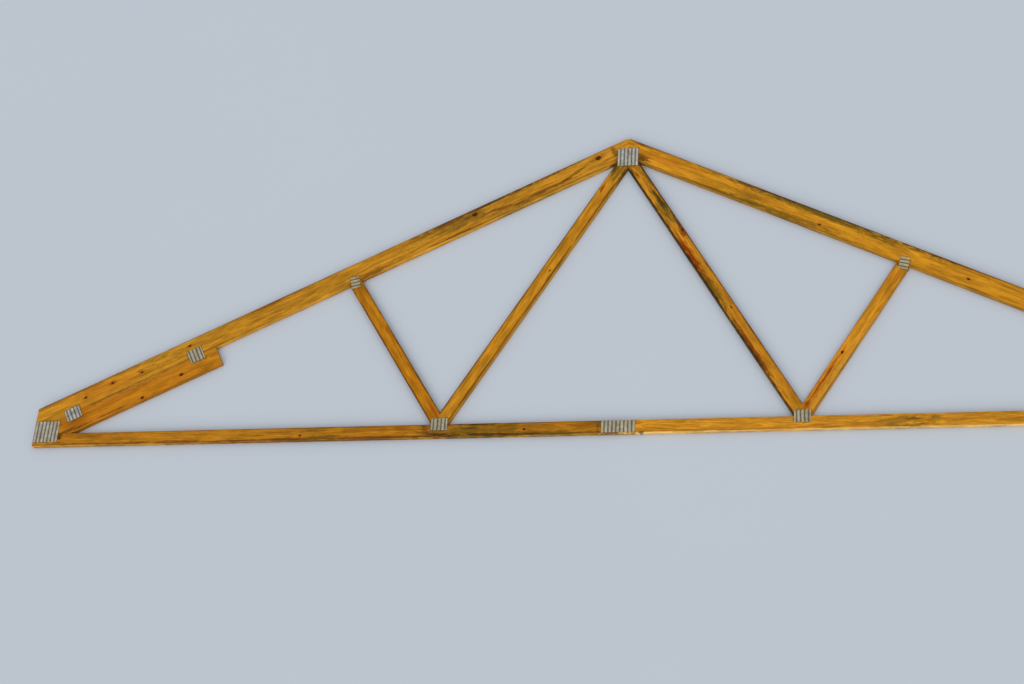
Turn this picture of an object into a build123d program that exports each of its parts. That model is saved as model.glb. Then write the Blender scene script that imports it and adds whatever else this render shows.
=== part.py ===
from build123d import *
import math
import os

# A Fink roof truss of sawn softwood, joined by pressed-on steel connector plates.
# It lies flat on its back plates: +X along the span, +Y from the bearings to the peak,
# +Z up through the thickness. The origin is at the middle of the span and of the rise,
# on the plane of the back plates. Millimetres.

# Roof shape
SPAN = 7924.8            # out to out of the bottom chord, 26 ft
ROOF_SLOPE = 0.5         # rise over run, 6 in 12
HEEL_HEIGHT = 273.0      # bearing to the top of the plumb cut at the eaves end
PEAK_BLUNT = 10.0        # how far the sharp peak is trimmed down

# Sawn timber
THICKNESS = 38.1         # every stick, so the faces are flush
NARROW = 88.9            # depth of the bottom chords and webs
DEEP = 139.7             # depth of the top chords and sliders
EASED = 3.0              # radius on the long arrises
SLIDER_END_X = 2776.0    # where a slider's upper arris ends, from the middle of the span

# Panel points, from the middle of the span
BOTTOM_JOINT_X = 1174.0  # both webs meet here, on the bottom chord's upper edge
TOP_JOINT_X = 1845.0     # a short web's middle meets the underside of the top chord here

# Connector plates: 20 gauge, length along the slots by width
GAUGE = 1.0
PEAK_PLATE = (139.7, 139.7)
SPLICE_PLATE = (215.9, 82.6)
HEEL_PLATE = (165.1, 152.4)
BOTTOM_PLATE = (108.0, 85.7)
TOP_PLATE = (88.9, 63.5)
TOP_PLATE_ANGLE = 76.5                 # its length leans out with the short web, off plumb
SLIDER_HEEL_PLATE = (101.6, 88.9)
SLIDER_TIP_PLATE = (101.6, 101.6)
HEEL_CENTRE = (3875.0, 101.0)          # plate centres: distance from the middle, height
SLIDER_HEEL_CENTRE = (3709.0, 233.0)
SLIDER_TIP_CENTRE = (2906.0, 653.0)

# Slots left where the teeth are struck out
SLOT_LENGTH = 12.7
SLOT_WIDTH = 3.2
COLUMN_PITCH = 25.4
ROW_PITCH = 19.05        # every third row of the real 6.35 mm pitch
PLATE_MARGIN = 3.0

# Worked out from the sizes above; heights are from the bearing
HALF = SPAN / 2
SLOPE_ANGLE = math.degrees(math.atan(ROOF_SLOPE))
SLANT = math.hypot(1, ROOF_SLOPE)            # sloping length for each unit of run
PLUMB_DEEP = DEEP * SLANT                    # a deep stick's depth, measured plumb
PEAK_SHARP = HEEL_HEIGHT + ROOF_SLOPE * HALF
RISE = PEAK_SHARP - PEAK_BLUNT
MID_RISE = RISE / 2
OVERRUN = 300.0                              # stock left past a cut before it is sawn


def roof_line(x):
    """Height of the top chord's upper edge at distance x from the middle."""
    return PEAK_SHARP - ROOF_SLOPE * x


def seam_line(x):
    """Height of the top chord's underside at distance x from the middle."""
    return roof_line(x) - PLUMB_DEEP


def stick(start, end, depth):
    """A sawn stick with eased arrises, its middle line from start to end and run on past both."""
    run, rise = end[0] - start[0], end[1] - start[1]
    length = math.hypot(run, rise) + 2 * OVERRUN
    middle = ((start[0] + end[0]) / 2, (start[1] + end[1]) / 2)
    bar = Rot(0, 90, 0) * extrude(RectangleRounded(THICKNESS, depth, EASED), length / 2, both=True)
    turned = Rot(0, 0, math.degrees(math.atan2(rise, run))) * bar
    return Pos(middle[0], middle[1] - MID_RISE, GAUGE + THICKNESS / 2) * turned


def sawn(bar, *outline):
    """The part of a stick that lies inside an outline of saw cuts."""
    points = [(x, y - MID_RISE) for x, y in outline]
    cut = extrude(make_face(Polyline(*points, close=True)), THICKNESS + 2 * GAUGE)
    return bar & cut


def bottom_chord():
    """Right half of the bottom chord, butted at the middle of the span."""
    bar = stick((0, NARROW / 2), (HALF, NARROW / 2), NARROW)
    return sawn(bar, (0, 0), (HALF, 0), (HALF, NARROW), (0, NARROW))


def top_chord():
    """Right top chord, plumb cut at the eaves and at the peak, its tip blunted."""
    half_depth = PLUMB_DEEP / 2
    bar = stick((0, roof_line(0) - half_depth), (HALF, roof_line(HALF) - half_depth), DEEP)
    return sawn(bar, (0, seam_line(0)), (HALF, seam_line(HALF)), (HALF, HEEL_HEIGHT),
                (PEAK_BLUNT / ROOF_SLOPE, RISE), (0, RISE))


def slider():
    """Right slider, under the top chord: plumb at the eaves, seated on the bottom chord,
    and cut square at its upper end."""
    half_depth = PLUMB_DEEP / 2
    bar = stick((SLIDER_END_X, seam_line(SLIDER_END_X) - half_depth),
                (HALF, seam_line(HALF) - half_depth), DEEP)
    square_x = SLIDER_END_X - DEEP * ROOF_SLOPE / SLANT
    square_y = seam_line(SLIDER_END_X) - DEEP / SLANT
    return sawn(bar, (SLIDER_END_X, seam_line(SLIDER_END_X)), (square_x, square_y),
                (square_x, NARROW), (HALF, NARROW), (HALF, seam_line(HALF)))


def long_web():
    """Right long web, from the bottom joint to the peak, cut plumb against its neighbours."""
    bar = stick((BOTTOM_JOINT_X, NARROW), (0, seam_line(0)), NARROW)
    return sawn(bar, (0, NARROW), (BOTTOM_JOINT_X, NARROW),
                (BOTTOM_JOINT_X, seam_line(BOTTOM_JOINT_X)), (0, seam_line(0)))


def short_web():
    """Right short web, from the bottom joint out to the top chord's underside."""
    bar = stick((BOTTOM_JOINT_X, NARROW), (TOP_JOINT_X, seam_line(TOP_JOINT_X)), NARROW)
    return sawn(bar, (BOTTOM_JOINT_X, NARROW), (HALF, NARROW), (HALF, seam_line(HALF)),
                (BOTTOM_JOINT_X, seam_line(BOTTOM_JOINT_X)))


def connector_plate(size, centre, angle=0.0):
    """A slotted plate, flat on the back of the truss, its slots along its length."""
    length, width = size
    columns = int((length - 2 * PLATE_MARGIN + SLOT_LENGTH) // COLUMN_PITCH)
    rows = int((width - 2 * PLATE_MARGIN - SLOT_WIDTH) // ROW_PITCH) + 1
    slots = GridLocations(COLUMN_PITCH, ROW_PITCH, columns, rows) * Rectangle(SLOT_LENGTH, SLOT_WIDTH)
    plate = extrude(Rectangle(length, width) - slots, GAUGE)
    return Pos(centre[0], centre[1] - MID_RISE, 0) * Rot(0, 0, angle) * plate


def plates_on_the_middle():
    """The two plates that cross the middle of the span, by name."""
    return {
        "peak_plate": connector_plate(PEAK_PLATE, (0, seam_line(0))),
        "splice_plate": connector_plate(SPLICE_PLATE, (0, NARROW / 2)),
    }


def plates_on_the_right():
    """The plates of the right half, by name; those on the slider follow the slope."""
    down = -SLOPE_ANGLE
    web_foot = (BOTTOM_JOINT_X, NARROW)
    web_head = (TOP_JOINT_X, seam_line(TOP_JOINT_X))
    return {
        "heel_plate": connector_plate(HEEL_PLATE, HEEL_CENTRE),
        "slider_heel_plate": connector_plate(SLIDER_HEEL_PLATE, SLIDER_HEEL_CENTRE, down),
        "slider_tip_plate": connector_plate(SLIDER_TIP_PLATE, SLIDER_TIP_CENTRE, down),
        "web_foot_plate": connector_plate(BOTTOM_PLATE, web_foot),
        "web_head_plate": connector_plate(TOP_PLATE, web_head, TOP_PLATE_ANGLE),
    }


def save(name, shape):
    """Write one piece to its own file."""
    export_step(shape, f"parts/{name}.step")


def save_pair(name, shape):
    """Write the right-hand piece and its mirror image on the left."""
    save(f"{name}_right", shape)
    save(f"{name}_left", mirror(shape, Plane.YZ))


def save_faces(name, plate, writer):
    """Write a plate on the back of the truss and its twin on the front."""
    writer(f"{name}_back", plate)
    writer(f"{name}_front", Pos(0, 0, GAUGE + THICKNESS) * plate)


os.makedirs("parts", exist_ok=True)

save_pair("bottom_chord", bottom_chord())
save_pair("top_chord", top_chord())
save_pair("slider", slider())
save_pair("long_web", long_web())
save_pair("short_web", short_web())

for plate_name, plate_shape in plates_on_the_middle().items():
    save_faces(plate_name, plate_shape, save)
for plate_name, plate_shape in plates_on_the_right().items():
    save_faces(plate_name, plate_shape, save_pair)
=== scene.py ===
import logging
import math
from contextlib import contextmanager
from dataclasses import dataclass
from enum import Enum
from typing import Any, Callable, Iterator, Optional, Sequence

import bpy
from bpy.types import Material, Node, NodeTree
from bpy.types import NodeSocket as Socket
from bpy.types import Object as Piece
from mathutils import Matrix, Vector


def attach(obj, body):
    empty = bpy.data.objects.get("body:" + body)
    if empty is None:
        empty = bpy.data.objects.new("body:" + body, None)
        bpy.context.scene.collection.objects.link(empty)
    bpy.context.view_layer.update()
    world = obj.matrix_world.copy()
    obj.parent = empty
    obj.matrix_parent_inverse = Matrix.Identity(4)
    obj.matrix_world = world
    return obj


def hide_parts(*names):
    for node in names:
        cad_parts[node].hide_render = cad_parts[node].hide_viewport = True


# A roof truss of sawn softwood and pressed-on connector plates, lying flat on its back plates:
# +X along the span, +Y from the bearings to the peak, +Z up. Metres. Places are given in the
# elevation of the right half, and the left half mirrors it.
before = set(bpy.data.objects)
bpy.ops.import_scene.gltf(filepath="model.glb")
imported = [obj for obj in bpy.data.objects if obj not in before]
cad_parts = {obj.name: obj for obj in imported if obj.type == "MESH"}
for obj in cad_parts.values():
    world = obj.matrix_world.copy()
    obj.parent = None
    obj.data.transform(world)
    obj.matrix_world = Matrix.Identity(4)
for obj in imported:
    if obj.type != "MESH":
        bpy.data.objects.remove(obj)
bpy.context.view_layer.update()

log = logging.getLogger("roof_truss")

Point = tuple[float, float]
Direction = tuple[float, float, float]
Colour = tuple[float, float, float, float]
Test = Callable[[Vector], bool]


def tone(red: int, green: int, blue: int) -> Colour:
    """Linear colour of 8-bit display values."""
    parts = (value / 255 for value in (red, green, blue))
    return tuple(c / 12.92 if c <= 0.04045 else ((c + 0.055) / 1.055) ** 2.4 for c in parts) + (1.0,)


def scaled(colour: Colour, red: float, green: float, blue: float) -> Colour:
    """A colour with each channel multiplied."""
    return colour[0] * red, colour[1] * green, colour[2] * blue, 1.0


class Side(Enum):
    """Half of the truss, as the sign of its x."""

    LEFT = -1
    RIGHT = 1

    @property
    def word(self) -> str:
        """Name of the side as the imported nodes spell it."""
        return self.name.lower()


class Face(Enum):
    """Face of the truss that a connector plate is pressed into."""

    BACK = "back"
    FRONT = "front"


class StainKind(Enum):
    """Colour that the weather or the saw left in a patch of wood; the umber also paints one brace shadow.
    """

    OLIVE = tone(98, 76, 18)
    RED = tone(136, 50, 2)
    UMBER = tone(104, 56, 12)
    BLACK = tone(44, 34, 14)
    GOLD = tone(206, 148, 52)
    ORANGE = tone(194, 110, 20)


# Short names for the lists of stains
OLIVE, RED, UMBER, BLACK, GOLD, ORANGE = StainKind


class WoodTone(Enum):
    """Darker tones of a stick: round and in its knots, in its checks, where dirt settles, and painted shade
    along its arrises and over the wood in the plate slots.
    """

    KNOT_HALO = tone(146, 74, 16)
    KNOT_HEART = tone(94, 32, 6)
    KNOT_RING = tone(58, 18, 3)
    KNOT_BARK = tone(38, 13, 3)
    # Dark lines along the arrises: partly dirt, partly painted shade of the edges and seams.
    MILDEW = tone(88, 72, 26)
    ARRIS_SOIL = tone(70, 42, 10)
    END_GRAIN = tone(124, 96, 58)
    CHECK = tone(60, 42, 20)
    PLATE_GRIME = tone(66, 52, 18)
    # Painted shade of the plate slots, over the wood under a plate.
    UNDER_PLATE = tone(46, 38, 26)


class ZincTone(Enum):
    """Tones of weathered zinc, of the grime about its slots, and of the painted shade in them."""

    DULL = tone(160, 160, 153)
    CLEAN = tone(182, 181, 173)
    BLOOM = tone(220, 219, 210)
    GRIME = tone(108, 96, 66)
    # Grime and painted shade of the slot columns.
    STRUCK = tone(64, 58, 44)
    # Painted shade deep in the slots, on the bent tooth roots.
    SUNK = tone(34, 32, 27)
    BROWNING = (0.97, 0.76, 0.36, 1.0)


class Element(Enum):
    """Kind of mesh element to select, with the name that a mesh gives its collection."""

    VERT = "vertices"
    EDGE = "edges"
    FACE = "polygons"


@dataclass(frozen=True)
class TrussPlan:
    """Sizes that the sticks and plates share, in metres; heights are from the bearing."""

    span: float = 7.9248
    roof_slope: float = 0.5
    heel_height: float = 0.273
    peak_blunt: float = 0.010
    thickness: float = 0.0381
    gauge: float = 0.001
    narrow: float = 0.0889
    deep: float = 0.1397
    slider_end: float = 2.776
    bottom_joint: float = 1.174
    top_joint: float = 1.845

    @property
    def half(self) -> float:
        """Half of the span."""
        return self.span / 2

    @property
    def slant(self) -> float:
        """Sloping length for each unit of run."""
        return math.hypot(1.0, self.roof_slope)

    @property
    def plumb_deep(self) -> float:
        """Depth of a deep stick on the slope, measured plumb."""
        return self.deep * self.slant

    @property
    def peak_sharp(self) -> float:
        """Height of the peak before its tip is trimmed."""
        return self.heel_height + self.roof_slope * self.half

    @property
    def rise(self) -> float:
        """Height of the whole truss."""
        return self.peak_sharp - self.peak_blunt

    @property
    def middle(self) -> float:
        """Height of the middle of the thickness above the floor."""
        return self.gauge + self.thickness / 2

    def seam_line(self, x: float) -> float:
        """Height of the top chord's underside at distance x from the middle."""
        return self.peak_sharp - self.roof_slope * x - self.plumb_deep

    def place(self, point: Point, side: Side, z: Optional[float] = None) -> Vector:
        """Turn a point of the right half's elevation into the row frame.

        Args:
            point: Distance from the middle of the span, and height.
            side: Half of the truss that the point is wanted on.
            z: Height above the floor; the middle of the thickness if left out.

        Returns:
            The point in the row frame.
        """
        return Vector((side.value * point[0], point[1] - self.rise / 2,
                       self.middle if z is None else z))


PLAN = TrussPlan()
NEAR = 1e-5  # metres within which a point counts as on a line or a plane


def axes(angle: float, side: Side) -> tuple[Vector, Vector]:
    """Directions along and across something that is mirrored on the left.

    Args:
        angle: Turn of its length in the right half, in radians.
        side: Half of the truss that it is in.

    Returns:
        The two unit vectors in the row frame.
    """
    return (Vector((side.value * math.cos(angle), math.sin(angle), 0.0)),
            Vector((-side.value * math.sin(angle), math.cos(angle), 0.0)))


# Modelling by operators

def deselect_all() -> None:
    """Leave object mode with nothing selected."""
    if bpy.context.object is not None and bpy.context.object.mode != "OBJECT":
        bpy.ops.object.mode_set(mode="OBJECT")
    bpy.ops.object.select_all(action="DESELECT")


def make_active(piece: Piece) -> None:
    """Make a piece the only selected object.

    Args:
        piece: The piece.
    """
    deselect_all()
    piece.select_set(True)
    bpy.context.view_layer.objects.active = piece


@contextmanager
def editing(piece: Piece, element: Element = Element.FACE) -> Iterator[None]:
    """Edit a piece's mesh, then go back to object mode.

    Args:
        piece: The piece to edit.
        element: What is selected in it.
    """
    make_active(piece)
    bpy.context.tool_settings.mesh_select_mode = tuple(kind is element for kind in Element)
    bpy.ops.object.mode_set(mode="EDIT")
    yield
    bpy.ops.object.mode_set(mode="OBJECT")


def pick(piece: Piece, element: Element, wanted: Test) -> None:
    """Select a mesh's vertices, edges or faces by place.

    Args:
        piece: The piece whose mesh is looked at.
        element: Which of them are selected.
        wanted: Says of a middle point whether its element is wanted.
    """
    mesh = piece.data
    for kind in Element:
        group = getattr(mesh, kind.value)
        group.foreach_set("select", [False] * len(group))
    for item in getattr(mesh, element.value):
        if element is Element.EDGE:
            a, b = (mesh.vertices[i].co for i in item.vertices)
            item.select = wanted((a + b) / 2)
        else:
            item.select = wanted(item.co if element is Element.VERT else item.center)


def apply_modifier(piece: Piece, kind: str, **settings: Any) -> None:
    """Add a modifier to a piece and apply it.

    Args:
        piece: The piece.
        kind: Blender's name of the modifier's type.
        settings: The modifier's own fields.
    """
    make_active(piece)
    modifier = piece.modifiers.new(kind.title(), kind)
    for key, value in settings.items():
        setattr(modifier, key, value)
    bpy.ops.object.modifier_apply(modifier=modifier.name)


def settle(piece: Piece) -> None:
    """Put a piece's place into its mesh, so that its object sits unturned at the origin."""
    make_active(piece)
    bpy.ops.object.transform_apply(location=True, rotation=True, scale=True)


# Shader graphs

@dataclass
class Graph:
    """A node tree with short calls for the nodes that the finishes use.

    Attributes:
        tree: The node tree.
        start: A group's input node.
        end: A group's output node.
    """

    tree: NodeTree
    start: Optional[Node] = None
    end: Optional[Node] = None

    @classmethod
    def group(cls, name: str, inputs: str, outputs: str) -> "Graph":
        """Make a shader node group with named sockets.

        Args:
            name: The group's name.
            inputs: Names of its inputs between commas, with a colon and their kind if not Float.
            outputs: The same for its outputs.

        Returns:
            A graph over the new group.
        """
        tree = bpy.data.node_groups.new(name, "ShaderNodeTree")
        for in_out, sockets in (("INPUT", inputs), ("OUTPUT", outputs)):
            for socket in sockets.split(", "):
                label, _, kind = socket.partition(":")
                tree.interface.new_socket(label, in_out=in_out,
                                          socket_type=f"NodeSocket{kind or 'Float'}")
        return cls(tree, tree.nodes.new("NodeGroupInput"), tree.nodes.new("NodeGroupOutput"))

    def feed(self, socket: Socket, value: Any) -> None:
        """Link a socket, or set its constant.

        Args:
            socket: The input that is fed.
            value: Another node's socket, or a constant.
        """
        if isinstance(value, Socket):
            self.tree.links.new(value, socket)
        else:
            socket.default_value = value

    def feed_named(self, sockets: Any, values: dict[str, Any]) -> None:
        """Feed several sockets.

        Args:
            sockets: A node's inputs.
            values: What each is fed, by its name, with _ for a space.
        """
        for name, value in values.items():
            self.feed(sockets[name.replace("_", " ")], value)

    def given(self, name: str) -> Socket:
        """One of the group's own inputs."""
        return self.start.outputs[name]

    def give(self, **values: Any) -> None:
        """Feed the group's outputs, with _ for a space in their names."""
        self.feed_named(self.end.inputs, values)

    def node(self, kind: str, *inputs: Any, **settings: Any) -> Node:
        """Add a node.

        Args:
            kind: Its type, without the leading ShaderNode.
            inputs: What its first sockets are fed.
            settings: Its own fields.

        Returns:
            The node.
        """
        made = self.tree.nodes.new(f"ShaderNode{kind}")
        for key, value in settings.items():
            setattr(made, key, value)
        for socket, value in zip(made.inputs, inputs):
            self.feed(socket, value)
        return made

    def use(self, group: str, **inputs: Any) -> Node:
        """Place a node group.

        Args:
            group: The group's name.
            inputs: What its sockets are fed, with _ for a space in their names.

        Returns:
            The group's node.
        """
        made = self.node("Group", node_tree=bpy.data.node_groups[group])
        self.feed_named(made.inputs, inputs)
        return made

    def math(self, operation: str, *values: Any) -> Socket:
        """A Math node's result."""
        return self.node("Math", *values, operation=operation).outputs[0]

    def vector(self, operation: str, *values: Any) -> Socket:
        """A Vector Math node's result, a number where the operation gives one."""
        made = self.node("VectorMath", *values, operation=operation)
        return made.outputs["Value" if operation in ("DOT_PRODUCT", "LENGTH") else "Vector"]

    def split(self, value: Any) -> tuple[Socket, ...]:
        """The x, y and z of a vector."""
        return tuple(self.node("SeparateXYZ", value).outputs)

    def join(self, x: Any, y: Any, z: Any) -> Socket:
        """A vector of three numbers."""
        return self.node("CombineXYZ", x, y, z).outputs[0]

    def seeded(self, steps: Direction) -> Socket:
        """Move the group's own Vector by its own Seed, so that each stick or plate differs.

        Args:
            steps: How far it moves along each axis for each unit of Seed.

        Returns:
            The moved vector.
        """
        moved = self.node("VectorMath", steps, operation="SCALE")
        self.feed(moved.inputs["Scale"], self.given("Seed"))
        return self.vector("ADD", self.given("Vector"), moved.outputs["Vector"])

    def noise(self, vector: Any, scale: Sequence[float], detail: float = 2.0,
              roughness: float = 0.5, distortion: float = 0.0, colour: bool = False) -> Socket:
        """Noise on a vector that is first scaled along each axis.

        Args:
            vector: Where to read it.
            scale: Waves a metre along x, y and z.
            detail: How many finer layers.
            roughness: How strong the finer layers are.
            distortion: How far it is stirred.
            colour: Give three numbers and not one.

        Returns:
            The noise.
        """
        made = self.node("TexNoise")
        self.feed_named(made.inputs, {
            "Vector": self.vector("MULTIPLY", vector, scale), "Scale": 1.0, "Detail": detail,
            "Roughness": roughness, "Distortion": distortion})
        return made.outputs["Color" if colour else "Fac"]

    def remap(self, value: Any, low: Any, high: Any, to_low: float = 0.0, to_high: float = 1.0) -> Socket:
        """A smooth step.

        Args:
            value: The number that is mapped.
            low: Where the step begins.
            high: Where it ends.
            to_low: What it gives up to its beginning.
            to_high: What it gives from its end.

        Returns:
            The mapped number.
        """
        made = self.node("MapRange", value, low, high, to_low, to_high,
                         interpolation_type="SMOOTHSTEP")
        return made.outputs[0]

    def mix(self, factor: Any, first: Any, second: Any, blend: str = "MIX") -> Socket:
        """Mix two colours.

        Args:
            factor: Share of the second.
            first: The colour below.
            second: The colour laid over it.
            blend: How they are mixed.

        Returns:
            The mixed colour.
        """
        made = self.node("Mix", factor, data_type="RGBA", blend_type=blend)
        for socket, value in zip((s for s in made.inputs if s.type == "RGBA"), (first, second)):
            self.feed(socket, value)
        return made.outputs[2]

    def lay(self, colour: Any, *layers: tuple[Any, float, Any]) -> Socket:
        """Lay colours over another.

        Args:
            colour: The colour below.
            layers: Mask, strength and colour of each layer, from the lowest up.

        Returns:
            The resulting colour.
        """
        for mask, strength, over in layers:
            colour = self.mix(self.math("MULTIPLY", mask, strength), colour, over)
        return colour

    def bump(self, shader: Node, height: Any, strength: float, depth: float) -> None:
        """Give a shader a bump.

        Args:
            shader: The shader.
            height: The height that is felt.
            strength: How strongly it is felt, from 0 to 1.
            depth: What a height of 1 stands for, in metres.
        """
        made = self.node("Bump")
        self.feed_named(made.inputs, {"Strength": strength, "Distance": depth, "Height": height})
        self.feed(shader.inputs["Normal"], made.outputs["Normal"])


def new_material(name: str) -> tuple[Material, Graph, Node]:
    """Make a material.

    Args:
        name: Its name.

    Returns:
        The material, the graph over its nodes, and its shader.
    """
    made = bpy.data.materials.new(name)
    made.use_nodes = True
    return made, Graph(made.node_tree), made.node_tree.nodes["Principled BSDF"]


def build_grain_group() -> None:
    """Growth rings of a stick cut beside the pith, as a solid, with its fibres and streaks."""
    g = Graph.group("Softwood grain", "Vector:Vector, Seed, Pith Across, Pith Below, Ring Width",
                    "Late Wood, Fibre, Tone, Streak, Bright, Resin, Mottle, Check")
    here = g.seeded((5.3, 2.1, 3.7))
    _, y, z = g.split(g.given("Vector"))
    wander = g.vector("SUBTRACT", g.noise(here, (0.9, 3, 3), 2, colour=True), (0.5, 0.5, 0.5))
    wander_y, wander_z, _ = g.split(wander)
    y = g.math("SUBTRACT", g.math("MULTIPLY_ADD", wander_y, 0.055, y), g.given("Pith Across"))
    z = g.math("ADD", g.math("MULTIPLY_ADD", wander_z, 0.040, z), g.given("Pith Below"))
    radius = g.math("SQRT", g.math("ADD", g.math("MULTIPLY", y, y), g.math("MULTIPLY", z, z)))
    uneven = g.noise(here, (1.5, 9, 9), 2)
    ring = g.math("FRACT", g.math("ADD", g.math("DIVIDE", radius, g.given("Ring Width")),
                                  g.math("MULTIPLY", uneven, 2.4)))
    g.give(Late_Wood=g.math("MULTIPLY", g.remap(ring, 0.35, 0.9), g.remap(ring, 1.0, 0.94)),
           Fibre=g.noise(here, (7, 420, 420), 3, 0.6),
           Tone=g.remap(g.noise(here, (0.55, 9, 9), 3, 0.55), 0.32, 0.68),
           Streak=g.remap(g.noise(here, (0.9, 34, 34), 4, 0.6), 0.48, 0.70),
           Bright=g.remap(g.noise(here, (1.3, 27, 20), 3, 0.6, 0.4), 0.52, 0.70),
           Resin=g.remap(g.noise(here, (3.4, 55, 44), 3, 0.6), 0.60, 0.72),
           Mottle=g.noise(here, (6, 34, 34), 4, 0.7),
           Check=g.remap(g.noise(here, (2.2, 150, 150), 2, 0.4), 0.74, 0.78))


def build_knot_group() -> None:
    """A round knot that the grain flows round: a dark core, its bark ring and a resinous halo."""
    g = Graph.group("Knot", "Vector:Vector, Along, Across, Size", "Vector:Vector, Core, Bark, Rings, Halo")
    x, y, z = g.split(g.given("Vector"))
    dx = g.math("DIVIDE", g.math("SUBTRACT", x, g.given("Along")), g.given("Size"))
    dy = g.math("DIVIDE", g.math("SUBTRACT", y, g.given("Across")), g.given("Size"))
    ragged = g.noise(g.given("Vector"), (70, 110, 20), 4, 0.6)
    away = g.math("ADD", g.vector("LENGTH", g.join(g.math("MULTIPLY", dx, 0.75), dy, 0.0)),
                  g.math("MULTIPLY", g.math("SUBTRACT", ragged, 0.5), 0.7))
    long_away = g.vector("LENGTH", g.join(g.math("MULTIPLY", dx, 0.32), g.math("MULTIPLY", dy, 0.8), 0.0))
    push = g.math("MULTIPLY", g.math("MULTIPLY", g.math("SIGN", dy), g.given("Size")),
                  g.remap(long_away, 2.0, 0.0, 0.0, -0.8))
    g.give(Vector=g.join(x, g.math("ADD", y, push), z), Core=g.remap(away, 1.15, 0.80),
           Bark=g.math("MULTIPLY", g.remap(away, 1.20, 0.95), g.remap(away, 0.45, 0.90)),
           Rings=g.math("FRACT", g.math("MULTIPLY", away, 5.3)),
           Halo=g.remap(g.math("ADD", long_away, g.math("MULTIPLY", ragged, 0.8)), 2.2, 0.8))


def build_ragged_group() -> None:
    """Unevenness that eats into the outlines of a stick's stains, drawn out along the grain."""
    g = Graph.group("Ragged", "Vector:Vector, Seed", "Rough")
    here = g.seeded((1.9, 4.3, 2.9))
    rough = 0.0
    for scale, detail, roughness, weight in (((17, 60, 60), 5, 0.66, 2.6), ((2, 40, 40), 3, 0.5, 1.8),
                                             ((12, 330, 330), 3, 0.6, 1.2)):
        uneven = g.math("SUBTRACT", g.noise(here, scale, detail, roughness), 0.5)
        rough = g.math("MULTIPLY_ADD", uneven, weight, rough)
    g.give(Rough=rough)


def build_stain_group() -> None:
    """A long patch, leaning a little off the grain if wanted, with a ragged outline."""
    g = Graph.group("Stain patch", "Vector:Vector, Rough, Along, Across, Length, Width, Lean", "Mask")
    x, y, _ = g.split(g.given("Vector"))
    x = g.math("SUBTRACT", x, g.given("Along"))
    y = g.math("SUBTRACT", g.math("SUBTRACT", y, g.given("Across")),
               g.math("MULTIPLY", x, g.given("Lean")))
    away = g.vector("LENGTH", g.join(g.math("DIVIDE", x, g.given("Length")),
                                     g.math("DIVIDE", y, g.given("Width")), 0.0))
    g.give(Mask=g.remap(g.math("ADD", away, g.given("Rough")), 1.15, 0.30))


def build_mildew_group() -> None:
    """Specks and smears of mildew, longer along the grain."""
    g = Graph.group("Mildew", "Vector:Vector, Seed, Amount", "Mask")
    here = g.seeded((7.7, 3.1, 5.9))
    patch = g.noise(here, (1.3, 7, 7), 3, 0.6)
    speck = g.noise(here, (30, 130, 130), 4, 0.7)
    total = g.math("ADD", patch, g.math("MULTIPLY", speck, 0.55))
    low = g.math("MULTIPLY_ADD", g.given("Amount"), -0.35, 0.95)
    g.give(Mask=g.remap(total, low, g.math("ADD", low, 0.16)))


def build_sawn_group() -> None:
    """Masks of a stick's narrow edges, its ends, and the dark lines along its arrises, which are partly
    dirt and partly painted shade of the edges and seams.
    """
    g = Graph.group("Sawn faces",
                    "Vector:Vector, Normal:Vector, Along:Vector, Across:Vector, Half Depth, "
                    "Half Thickness, Reach, Seed",
                    "Edge, End, Arris")
    across = g.math("ABSOLUTE", g.vector("DOT_PRODUCT", g.given("Normal"), g.given("Across")))
    along = g.math("ABSOLUTE", g.vector("DOT_PRODUCT", g.given("Normal"), g.given("Along")))
    _, y, z = g.split(g.given("Vector"))
    corner = g.math("MAXIMUM",
                    g.math("SUBTRACT", g.given("Half Depth"), g.math("ABSOLUTE", y)),
                    g.math("SUBTRACT", g.given("Half Thickness"), g.math("ABSOLUTE", z)))
    uneven = g.noise(g.seeded((2.3, 6.1, 4.7)), (1.8, 16, 16), 5, 0.65)
    reach = g.math("MULTIPLY", g.remap(uneven, 0.34, 0.66, 0.16, 1.0), g.given("Reach"))
    edge = g.remap(across, 0.45, 0.8)
    g.give(Edge=edge, End=g.remap(along, 0.75, 0.95),
           Arris=g.math("MULTIPLY", g.remap(corner, reach, 0.0),
                        g.math("MULTIPLY_ADD", edge, -0.65, 1.0)))


def build_print_group() -> None:
    """Painted shade over the wood under a pressed-on plate, seen through its slots, and the dirt that
    gathers around it.
    """
    g = Graph.group("Plate print",
                    "Vector:Vector, Centre:Vector, Along:Vector, Across:Vector, Half Length, "
                    "Half Width, Spread",
                    "Under, Halo")
    away = g.vector("SUBTRACT", g.given("Vector"), g.given("Centre"))
    out_x, out_y = (g.math("SUBTRACT",
                           g.math("ABSOLUTE", g.vector("DOT_PRODUCT", away, g.given(axis))),
                           g.given(half))
                    for axis, half in (("Along", "Half Length"), ("Across", "Half Width")))
    out = g.math("MAXIMUM", out_x, out_y)
    ragged = g.noise(g.given("Vector"), (38, 38, 38), 4, 0.6)
    reach = g.math("MULTIPLY", g.given("Spread"), g.remap(ragged, 0.38, 0.68, 0.1, 1.0))
    g.give(Under=g.remap(out, 0.0, -0.002), Halo=g.remap(out, reach, 0.0))


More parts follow.
